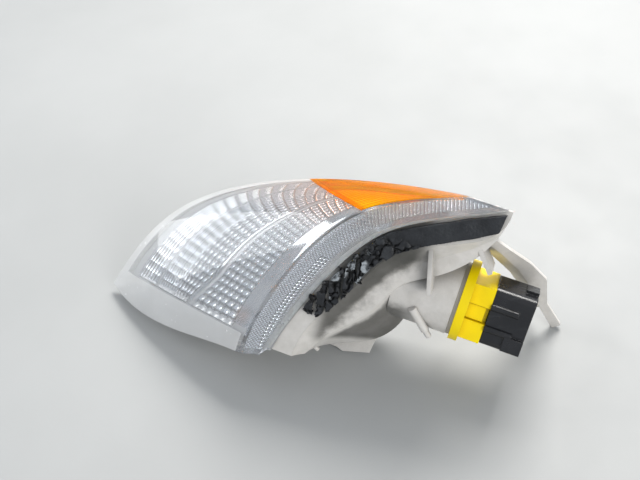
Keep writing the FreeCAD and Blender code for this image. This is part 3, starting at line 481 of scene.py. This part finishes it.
def lens_rows(u, inset, radius):
    """Lamp points for each row at its own u, with rounded edges."""
    values = powers(u) @ CURVES
    top, low, depth = values[..., 0:3], values[..., 3:6], values[..., 6]
    drop = np.hypot(low[..., 1] - top[..., 1], low[..., 2])
    rake = top[..., 0] - low[..., 0]
    slant = np.hypot(rake, drop)
    bulge = BULGE * drop / FIRST_DROP

    def face(way):
        down = inset + way * (drop - 2 * inset)
        x = (inset * slant - down * rake) / drop - 4 * way * (1 - way) * bulge * slant / drop
        return x, down

    f = ALONG.reshape((-1,) + (1,) * (u.ndim - 1))
    start_x, _ = face(0 * f)
    end_x, _ = face(0 * f + 1)
    share = radius / np.maximum(slant, 4 * radius)

    def bezier(a, b, c):
        corners = zip(a, b, c)
        return [(1 - f) ** 2 * p + 2 * f * (1 - f) * q + f ** 2 * r for p, q, r in corners]

    after_top = face(share + 0 * f)
    before_low = face(1 - share + 0 * f)
    front_top = start_x + radius
    front_low = end_x + radius
    rear_low = depth - rake
    shapes = {
        "band": (depth + f * (front_top - depth), inset + 0 * f),
        "top": bezier((front_top, inset + 0 * f), (start_x, inset + 0 * f), after_top),
        "face": face(share + f * (1 - 2 * share)),
        "low": bezier(before_low, (end_x, drop - inset), (front_low, drop - inset)),
        "under": (front_low + f * (rear_low - front_low), drop - inset),
    }
    kinds = KIND.reshape(f.shape)
    x, down = 0 * u, 0 * u
    for kind, (shape_x, shape_down) in shapes.items():
        x = np.where(kinds == kind, shape_x, x)
        down = np.where(kinds == kind, shape_down, down)
    way = down / drop
    return np.stack([
        top[..., 0] + x,
        top[..., 1] + (low[..., 1] - top[..., 1]) * way,
        low[..., 2] * way,
    ], axis=-1)


# Inboard side of the lamp in plan, a smooth curve and then a short knee.
SIDE = np.array([(-150.0, -69.0), (-117.5, -82.3), (-90.0, -84.0), (-64.0, -79.2), (-22.0, -68.6)])
SIDE_FIT = np.polyfit(SIDE[:, 0], SIDE[:, 1], 4)
KNEE = np.array([(-22.0, -68.6), (-14.0, -66.3), (-10.9, -62.0), (100.0, -62.0)])


def side_y(x):
    curve = np.polyval(SIDE_FIT, np.clip(x, SIDE[0, 0], SIDE[-1, 0]))
    return np.where(x < KNEE[0, 0], curve, np.interp(x, KNEE[:, 0], KNEE[:, 1]))


def crossing(gap, low, high):
    """For each row, the u where the gap function changes sign."""
    low = np.full(len(ROWS), float(low))
    high = np.full(len(ROWS), float(high))
    for _ in range(40):
        middle = (low + high) / 2
        before = gap(middle) < 0
        low = np.where(before, middle, low)
        high = np.where(before, high, middle)
    return (low + high) / 2


# The seam between the clear and the amber part is at y = SEAM_Y + SEAM_LEAN * z.
SEAM_Y, SEAM_LEAN = 19.5, 0.11
CLEAR_COLUMNS, AMBER_COLUMNS = 480, 220
OUTER_RADIUS, INNER_RADIUS = 1.3, 0.5  # mm
INNER_END = 0.976  # share of the lens length where the cavity stops


def lens_grid(inset, radius, last):
    """Rows by columns of lamp points; one column runs along the colour seam."""
    def side_gap(u):
        p = lens_rows(u, inset, radius)
        return p[:, 1] - (side_y(p[:, 0]) + inset)

    def seam_gap(u):
        p = lens_rows(u, inset, radius)
        return p[:, 1] - (SEAM_Y + SEAM_LEAN * p[:, 2])

    first = crossing(side_gap, 0.0, 0.4)
    seam = crossing(seam_gap, 0.3, 0.9)
    left = np.linspace(0, 1, CLEAR_COLUMNS + 1)
    right = np.linspace(0, 1, AMBER_COLUMNS + 1)[1:]
    before = first[:, None] + (seam - first)[:, None] * left
    after = seam[:, None] + (last - seam)[:, None] * right
    u = np.concatenate([before, after], axis=1)
    return u, lens_rows(u, inset, radius)


OUTER_U, OUTER = lens_grid(0.0, OUTER_RADIUS, 1.0)
INNER_U, INNER = lens_grid(WALL, INNER_RADIUS, INNER_END)
FACE = KIND == "face"
BAND = (KIND == "band")[:, None]
FACE_WAY = np.where(FACE, ALONG, np.where(np.isin(KIND, ("band", "top")), 0.0, 1.0))


# ---------------------------------------------------------------- moulded optics

def pillow(across, along):
    """0 at the crown of a cell and up to 1 in the grooves between cells."""
    a = 2 * (across % 1.0) - 1
    b = 2 * (along % 1.0) - 1
    return (a * a + b * b) / 2


def smooth(value, low, high):
    way = np.clip((value - low) / (high - low), 0, 1)
    return way * way * (3 - 2 * way)


def groove_line(across, along):
    """1 along the lines between cells, 0 elsewhere."""
    a = np.abs(2 * (across % 1.0) - 1)
    b = np.abs(2 * (along % 1.0) - 1)
    return smooth(np.maximum(a, b), 0.74, 0.97)


def line(value, middle, half_width):
    """A rounded line: 1 at its middle and 0 at its sides."""
    return np.sqrt(np.maximum(1 - ((value - middle) / half_width) ** 2, 0))


# On the inner face u runs along the lens, and way runs down the face from 0 to 1.
u = INNER_U
way = FACE_WAY[:, None] * np.ones_like(u)
on_face = FACE[:, None]
SHORT_BORDER = 0.122  # u where the fluting starts, beyond the smooth inboard border
BORDER_GROOVE = 0.092  # u of the groove along that border
CROSS_PITCH = 0.0253  # u from one cross groove to the next
past_border = u - SHORT_BORDER
crossways = (past_border - 0.277 * past_border * (way - 0.35)) / CROSS_PITCH
crease = 0.305 + 0.055 * smooth(u, 0.5, 0.7) + 0.075 * smooth(-u, -0.25, -0.11)
second_line = 0.70 + 0.05 * smooth(u, 0.45, 0.65)
LAST_LINE = 0.928
ZONES = [  # start, end, cells across, depth in mm, share of silver
    (0.080, crease - 0.020, 6, 1.00, 1.0),
    (crease + 0.034, 0.525, 5, 0.95, 1.0),
    (0.535, second_line - 0.015, 7, 0.50, 0.85),
    (second_line + 0.015, 0.905, 6, 0.30, 0.55),
]
relief = np.zeros_like(u)
groove = np.zeros_like(u)
silver = np.full_like(u, 0.45)
for start, end, cells, deep, share in ZONES:
    inside = (way > start) & (way < end)
    across = (way - start) / (end - start) * cells
    relief = np.where(inside, deep * pillow(across, crossways), relief)
    groove = np.where(inside, groove_line(across, crossways), groove)
    silver = np.where(inside, share, silver)
ridges = np.maximum(line(way, crease, 0.017), line(way, second_line, 0.008))
ridges = np.maximum(ridges, line(way, LAST_LINE, 0.007))
relief = np.where(ridges > 0, 0.8 * (1 - ridges), relief)
flank = smooth(-np.abs(way - crease - 0.026), -0.010, -0.004)
groove = np.maximum(groove, 0.55 * flank)
grid_part = smooth(u, SHORT_BORDER - 0.003, SHORT_BORDER + 0.002) * on_face
near_groove = (np.abs(u - BORDER_GROOVE) < 0.005) * on_face
relief = relief * grid_part + 0.5 * (1 - line(u, BORDER_GROOVE, 0.005)) * near_groove
groove = groove * grid_part
silver = silver * grid_part

# Fine square fluting inside the amber part, left smooth along the lower edge.
AMBER_PITCH = 2.0  # mm
AMBER_DEPTH = 0.55  # mm
amber_face = (np.arange(u.shape[1])[None, :] > CLEAR_COLUMNS) & on_face
arc = np.cumsum(np.linalg.norm(np.diff(INNER, axis=1, prepend=INNER[:, :1]), axis=2), axis=1)
arc -= arc[:, CLEAR_COLUMNS:CLEAR_COLUMNS + 1]
face_start = int(np.argmax(FACE))
face_end = face_start + FACE_ROWS
slant_mm = np.linalg.norm(INNER[face_end - 1] - INNER[face_start], axis=1)
fluted = smooth(-way - 0.55 * smooth(u, 0.70, 0.96), -0.60, -0.57)
amber_across = way * slant_mm[None, :] / AMBER_PITCH
amber_along = arc / AMBER_PITCH
relief = np.where(amber_face, AMBER_DEPTH * fluted * pillow(amber_across, amber_along), relief)
groove = np.where(amber_face, groove_line(amber_across, amber_along), groove)
silver = np.where(amber_face, fluted, silver)

# Diamond pattern under the top band, rows of dashes behind it, then a smooth strip.
DIAMOND = 1.75  # mm
DASH_ROW, DASH_LENGTH = 1.9, 2.1  # mm
PATTERN_END = 0.70  # share of the band's depth
front_edge = OUTER[face_start - BEND_ROWS - 1]
behind = np.linalg.norm(OUTER - front_edge[None], axis=2)
front_steps = np.linalg.norm(np.diff(front_edge, axis=0, prepend=front_edge[:1]), axis=1)
band_arc = np.cumsum(front_steps)[None, :]
back = behind / np.maximum(behind[0][None, :], 1)
one = (band_arc + behind) / DIAMOND
other = (band_arc - behind) / DIAMOND
dash_rows = behind / DASH_ROW
dash_cells = band_arc / DASH_LENGTH
dashed = (back > 0.40) & (u < 0.42)
patterned = BAND & (back < PATTERN_END) & (behind > 0.8)
band_relief = np.where(dashed, 0.60 * pillow(dash_rows, dash_cells), 0.42 * pillow(one, other))
band_groove = np.where(dashed, groove_line(dash_rows, dash_cells), groove_line(one, other))
relief = np.where(patterned, band_relief, relief)
groove = np.where(patterned, band_groove, groove)
silver = np.where(patterned, 1.0, silver)


def row_normals(points):
    """Unit normals of a grid of points."""
    down = np.gradient(points, axis=0)
    side = np.gradient(points, axis=1)
    normal = np.cross(side, down)
    return normal / np.maximum(np.linalg.norm(normal, axis=2, keepdims=True), 1e-9)


facing = row_normals(INNER)
outward = OUTER - INNER
facing *= np.sign(np.sum(facing * outward, axis=2, keepdims=True))
INNER = INNER + facing * relief[..., None]


# ---------------------------------------------------------------- lens meshes

SHARP_ANGLE = math.radians(42)


def point_values(mesh, name, values):
    """Store one number per vertex for the material to read."""
    layer = mesh.attributes.new(name, "FLOAT", "POINT")
    layer.data.foreach_set("value", np.asarray(values, np.float32))


def lens_piece(name, points, faces, attributes, slot):
    """Closed mesh of quads from lamp points, on the lamp body, with its faces turned outward."""
    mesh = bpy.data.meshes.new(name)
    mesh.from_pydata(world(points).tolist(), [], np.concatenate(faces).tolist())
    mesh.polygons.foreach_set("use_smooth", np.ones(len(mesh.polygons), bool))
    for key, values in attributes.items():
        point_values(mesh, key, values)
    mesh.materials.append(MATERIALS[slot])
    turned = bmesh.new()
    turned.from_mesh(mesh)
    bmesh.ops.recalc_face_normals(turned, faces=turned.faces)
    turned.to_mesh(mesh)
    turned.free()
    mesh.set_sharp_from_angle(angle=SHARP_ANGLE)
    piece = bpy.data.objects.new(name, mesh)
    bpy.context.scene.collection.objects.link(piece)
    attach(piece, "lamp")
    return piece


def grid_piece(name, mask, attributes, slot):
    """Lens moulding from the masked cells of the outer and inner grids, closed along its borders."""
    rows, columns = OUTER.shape[:2]
    used = np.zeros((rows, columns), bool)
    for dr in (0, 1):
        for dc in (0, 1):
            used[dr:rows - 1 + dr, dc:columns - 1 + dc] |= mask
    count = int(used.sum())
    index = np.full((rows, columns), -1)
    index[used] = np.arange(count)
    r, c = np.nonzero(mask)
    corners = [index[r, c], index[r, c + 1], index[r + 1, c + 1], index[r + 1, c]]
    outside = np.stack(corners, axis=1)
    faces = [outside, outside[:, ::-1] + count]
    padded = np.pad(mask, 1)
    sides = {
        (-1, 0): ((0, 0), (0, 1)),
        (1, 0): ((1, 1), (1, 0)),
        (0, -1): ((1, 0), (0, 0)),
        (0, 1): ((0, 1), (1, 1)),
    }
    for (dr, dc), ((ar, ac), (br, bc)) in sides.items():
        r, c = np.nonzero(mask & ~padded[1 + dr:rows + dr, 1 + dc:columns + dc])
        a, b = index[r + ar, c + ac], index[r + br, c + bc]
        faces.append(np.stack([b, a, a + count, b + count], axis=1))
    points = np.concatenate([OUTER[used], INNER[used]])
    values = {
        key: np.concatenate([outer_values[used], inner_values[used]])
        for key, (outer_values, inner_values) in attributes.items()
    }
    return lens_piece(name, points, faces, values, slot)


UNDER_START = face_end + BEND_ROWS
AMBER_RETURN_ROWS = 6  # rows of the lower wall that belong to the amber part
cell_row = np.arange(OUTER.shape[0] - 1)[:, None]
cell_column = np.arange(OUTER.shape[1] - 1)[None, :]
amber_rows = (cell_row >= face_start - 2) & (cell_row < UNDER_START + AMBER_RETURN_ROWS)
amber_cells = (cell_column >= CLEAR_COLUMNS) & amber_rows

none = np.zeros_like(OUTER_U)
face_way = FACE_WAY[:, None] + none
border = smooth(-OUTER_U, -SHORT_BORDER, -SHORT_BORDER + 0.006) * (face_way > 0)
border = np.maximum(border, smooth(face_way, 0.915, 0.935))
border = np.where(BAND & (back > PATTERN_END), 0.25, 0.6 * border)
inner_frost = np.maximum(border, 0.5 * ridges * grid_part)
# Painted orange reflection of the amber part: near the seam, on the smooth strip of the band and in a
# patch by the inboard corner.
near_seam = smooth(OUTER_U, 0.42, 0.70) * smooth(face_way, 0.02, 0.10)
smooth_strip = smooth(back, PATTERN_END - 0.02, PATTERN_END + 0.03) * BAND
strip_reflection = smooth(OUTER_U, 0.55, 0.80) * smooth_strip
corner_distance = np.hypot((OUTER_U - 0.15) / 0.04, (face_way - 0.05) / 0.05)
corner_reflection = np.clip(1 - corner_distance, 0, 1)
amber_reflection = np.maximum(0.8 * near_seam, np.maximum(0.45 * strip_reflection, corner_reflection))
glow = smooth(-face_way, -0.34, -0.02) * smooth(-OUTER_U, -0.90, -0.68)
lower_line = line(face_way + 0.55 * smooth(OUTER_U, 0.70, 0.96), 0.59, 0.022)
edge = np.clip(lower_line + line(OUTER_U, 0.677, 0.008), 0, 1)

# Each attribute has its values on the outer and on the inner skin.
clear_values = {
    "frost": (border, inner_frost),
    "amber_reflection": (0.25 * amber_reflection, amber_reflection),
    "silver": (none, silver),
    "groove": (none, groove),
}
amber_values = {
    "glow": (0.4 * glow, glow),
    "edge": (0.4 * edge, edge),
    "silver": (none, silver),
    "groove": (none, groove),
}
clear_lens = grid_piece("lens_clear_optic", ~amber_cells, clear_values, "clear_lens")
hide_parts("lens_clear")
amber_lens = grid_piece("lens_amber_optic", amber_cells, amber_values, "amber_lens")
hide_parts("lens_amber")

CAP_COLUMNS = 28
CAP_FROST = 0.3


def end_cap(name, column, on_side):
    """Wall across one end of the lens, from the face edge back to the rear rim."""
    sheets = []
    for edge_line, inset in ((OUTER[:, column], 0.0), (INNER[:, column], WALL)):
        front = edge_line[face_start - BEND_ROWS:UNDER_START]
        rear_top, rear_low = edge_line[0], edge_line[-1]
        share = (front[:, 2] - rear_top[2]) / (rear_low[2] - rear_top[2])
        rear = rear_top + (rear_low - rear_top) * share[:, None]
        steps = np.linspace(0, 1, CAP_COLUMNS)[None, :, None]
        sheet = front[:, None] + (rear - front)[:, None] * steps
        if on_side:
            sheet[..., 1] = side_y(sheet[..., 0]) + inset
        sheets.append(sheet.reshape(-1, 3))
    rows = len(sheets[0]) // CAP_COLUMNS
    count = rows * CAP_COLUMNS
    index = np.arange(count).reshape(rows, CAP_COLUMNS)
    corners = [index[:-1, :-1], index[:-1, 1:], index[1:, 1:], index[1:, :-1]]
    outside = np.stack(corners, axis=-1).reshape(-1, 4)
    faces = [outside, outside[:, ::-1] + count]
    for rim in (index[0], index[-1], index[:, 0], index[:, -1]):
        faces.append(np.stack([rim[:-1], rim[1:], rim[1:] + count, rim[:-1] + count], axis=1))
    across = np.linspace(0, 1, CAP_COLUMNS)
    lines = np.maximum(line(across, 0.30, 0.10), line(across, 0.72, 0.07))
    frost = np.tile(CAP_FROST + 0.35 * lines, 2 * rows)
    return lens_piece(name, np.concatenate(sheets), faces, {"frost": frost}, "clear_lens")


end_cap("lens_inboard_wall", 0, True)
end_cap("lens_tip_wall", -1, False)


# ---------------------------------------------------------------- foam seal

CRACKED_UNTIL = 14.0  # mm outboard; the foam is sound beyond it
FADE = 6.0  # mm over which the cracking dies away
CHUNKS = 0.17  # chunks per mm
VOXEL = 0.42  # mm
WANDER = 0.30  # how far cracks stray from straight, as a share of a chunk
CRACK_WIDTH = 0.16  # share of a chunk
GREYED = 0.72  # chunks with a luck above this have a greyed surface
DEEPEST, HIGHEST = -2.6, 0.9  # mm that a vertex may move along its normal


def remeshed(name, source_mesh):
    """Object in the scene with the same shape rebuilt in small even faces."""
    piece = bpy.data.objects.new(name, source_mesh.copy())
    bpy.context.scene.collection.objects.link(piece)
    weld = piece.modifiers.new("weld", "WELD")
    weld.merge_threshold = 0.00001
    remesh = piece.modifiers.new("remesh", "REMESH")
    remesh.mode = "VOXEL"
    remesh.voxel_size = VOXEL / MM
    graph = bpy.context.evaluated_depsgraph_get()
    fine_mesh = bpy.data.meshes.new_from_object(piece.evaluated_get(graph))
    piece.modifiers.clear()
    piece.data = fine_mesh
    return piece


def foam_piece(node_name, seed):
    """Aged foam: remeshed from its plain solid, then pitted, cracked and worn."""
    piece = remeshed(node_name + "_aged", nodes[node_name].data)
    mesh = piece.data
    normals = [v.normal.copy() for v in mesh.vertices]
    offset = Vector((seed * 13.7, seed * 5.1, seed * 9.3))
    back_to_lamp = REST.inverted()
    worn, deep = [], []
    for v, normal in zip(mesh.vertices, normals):
        place = back_to_lamp @ (v.co * MM)
        broken = min(1.0, max(0.0, (CRACKED_UNTIL - place.y) / FADE))
        wander = noise.noise_vector(place * 0.35 + offset) * WANDER
        distances, centres = noise.voronoi(place * CHUNKS + offset + wander)
        chunk = centres[0]
        luck = noise.cell(chunk * 7.3)
        tilt = noise.cell_vector(chunk * 5.1) - Vector((0.5, 0.5, 0.5))
        lean = tilt.dot(place * CHUNKS + offset - chunk)
        crack = max(0.0, 1 - (distances[1] - distances[0]) / CRACK_WIDTH)
        pits = abs(noise.fractal(place * 1.3 + offset, 1.0, 2.0, 4))
        swell = noise.noise(place * 0.12 + offset)
        push = -0.25 - 0.30 * pits + 0.35 * swell
        push += broken * (0.5 - abs(luck) + 1.9 * lean - 2.2 * crack ** 0.7)
        v.co += normal * (max(DEEPEST, min(push, HIGHEST)) / MM)
        worn.append(broken * (1 - crack) if luck > GREYED else 0.0)
        # deep marks painted shade in the cracks.
        deep.append(min(1.0, broken * crack * 1.6))
    point_values(mesh, "worn", worn)
    point_values(mesh, "deep", deep)
    mesh.polygons.foreach_set("use_smooth", np.ones(len(mesh.polygons), bool))
    mesh.materials.clear()
    mesh.materials.append(MATERIALS["black_foam"])
    mesh.update()
    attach(piece, "lamp")
    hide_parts(node_name)


# noise_vector draws from this seed, so every run gives the same cracks.
noise.seed_set(7)
foam_piece("foam_strip", 1)
for number in range(1, 5):
    foam_piece(f"foam_fragment_{number}", number + 1)


# ---------------------------------------------------------------- floor, light and camera

def floor_material():
    s = Shader("pale_floor")
    cloud = s.ramp(s.noise(6, 4), 0.3, 0.7)
    s.set(Base_Color=s.mix(cloud, shade(0.40, 0.405, 0.40), shade(0.37, 0.375, 0.37)))
    s.set(Roughness=s.ramp(s.noise(30, 4), 0.3, 0.8, 0.6, 0.75))
    s.bump(s.noise(500, 3), 0.0001, 0.3)
    return s.material


bpy.ops.mesh.primitive_plane_add(size=6, location=(0, 0, 0))
floor = bpy.context.object
floor.name = "floor"
floor.data.materials.append(floor_material())

background = bpy.data.worlds.new("studio")
background.use_nodes = True
sky = background.node_tree.nodes["Background"]
sky.inputs["Color"].default_value = shade(0.86, 0.92, 1.0)
sky.inputs["Strength"].default_value = 0.60
bpy.context.scene.world = background
bpy.context.scene.view_settings.view_transform = "Standard"


OBJECT_MIDDLE = Vector((0, 0, 0.04))


def softbox(name, location, size, power, colour):
    """Soft rectangular light in metres and watts, turned towards the object."""
    light = bpy.data.lights.new(name, "AREA")
    light.shape = "RECTANGLE"
    light.size, light.size_y = size
    light.energy = power
    light.color = colour
    box = bpy.data.objects.new(name, light)
    box.location = location
    towards = OBJECT_MIDDLE - Vector(location)
    box.rotation_euler = towards.to_track_quat("-Z", "Y").to_euler()
    bpy.context.scene.collection.objects.link(box)


softbox("key", (0.25, 0.55, 0.75), size=(0.50, 0.40), power=12, colour=(1.0, 0.98, 0.95))
softbox("left", (-0.85, 0.28, 0.36), size=(0.50, 0.45), power=2.8, colour=(0.96, 0.98, 1.0))
softbox("front", (0.55, -0.75, 0.55), size=(0.60, 0.40), power=5.5, colour=(1.0, 0.99, 0.97))

# The camera stands in front of the object and above it, rolled a little.
RIGHT = Vector((0.997, 0.0, -0.0771))
UP = Vector((0.0521, 0.7369, 0.674))
STAND = Vector((0.02393, -0.27751, 0.36864))
camera_data = bpy.data.cameras.new("camera")
camera_data.sensor_width = 36
camera_data.lens = 48.375
camera_data.clip_start = 0.01
camera = bpy.data.objects.new("camera", camera_data)
turn = Matrix((RIGHT, UP, RIGHT.cross(UP))).transposed()
camera.matrix_world = Matrix.Translation(STAND) @ turn.to_4x4()
bpy.context.scene.collection.objects.link(camera)
bpy.context.scene.camera = camera
